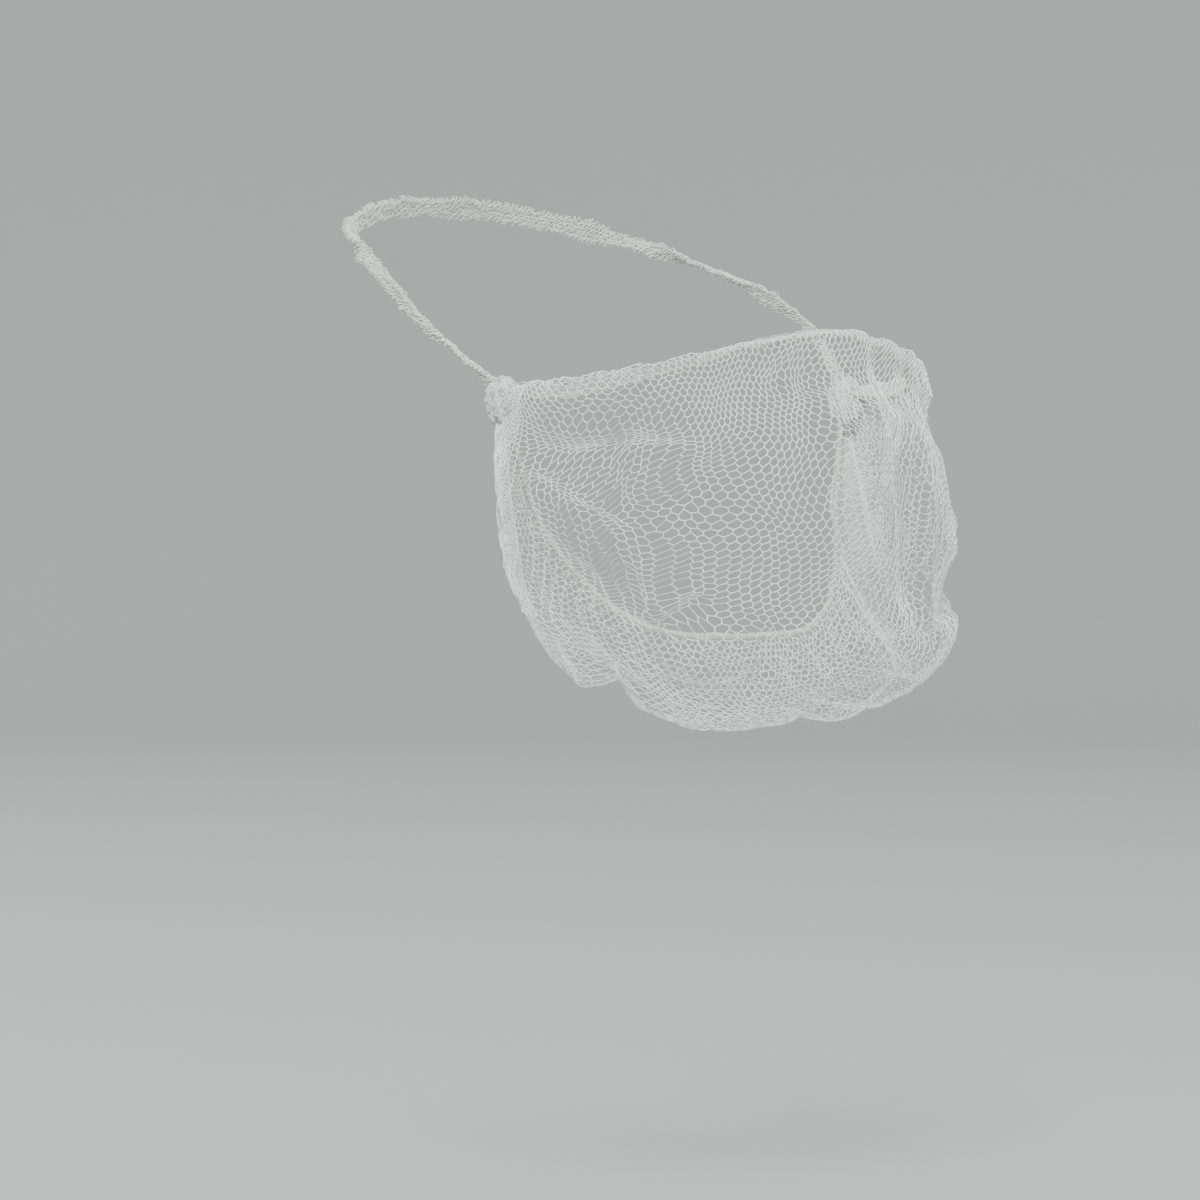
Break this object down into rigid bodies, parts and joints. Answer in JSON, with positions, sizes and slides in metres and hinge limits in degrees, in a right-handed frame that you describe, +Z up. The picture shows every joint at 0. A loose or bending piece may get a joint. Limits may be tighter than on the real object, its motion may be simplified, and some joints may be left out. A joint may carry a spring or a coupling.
{
  "type": "disposable beard net",
  "caption": "Pouch of fine hexagonal net for the lower face, gathered on an elastic over the nose and one under the jaw, with a soft band round the back of the head.",
  "frame": {"origin": "inside the wearer's head, midway between the two ear holes, in the plane that divides the face into left and right", "axes": "+Z up, -Y the way the wearer faces, +X the wearer's left, so the side in the picture is at -X"},
  "size_m": [0.1596, 0.2309, 0.1698],
  "materials": {
    "net": "fine knitted nylon net, semi-transparent as a whole",
    "elastic": "yarn-covered elastic",
    "band": "loosely knitted, bulky elastic"
  },
  "bodies": {
    "root": {"net_pouch": "net", "top_elastic": "elastic", "jaw_elastic": "elastic", "head_band": "band", "corner_gather_right": "net", "corner_gather_left": "net"}
  },
  "joints": []
}
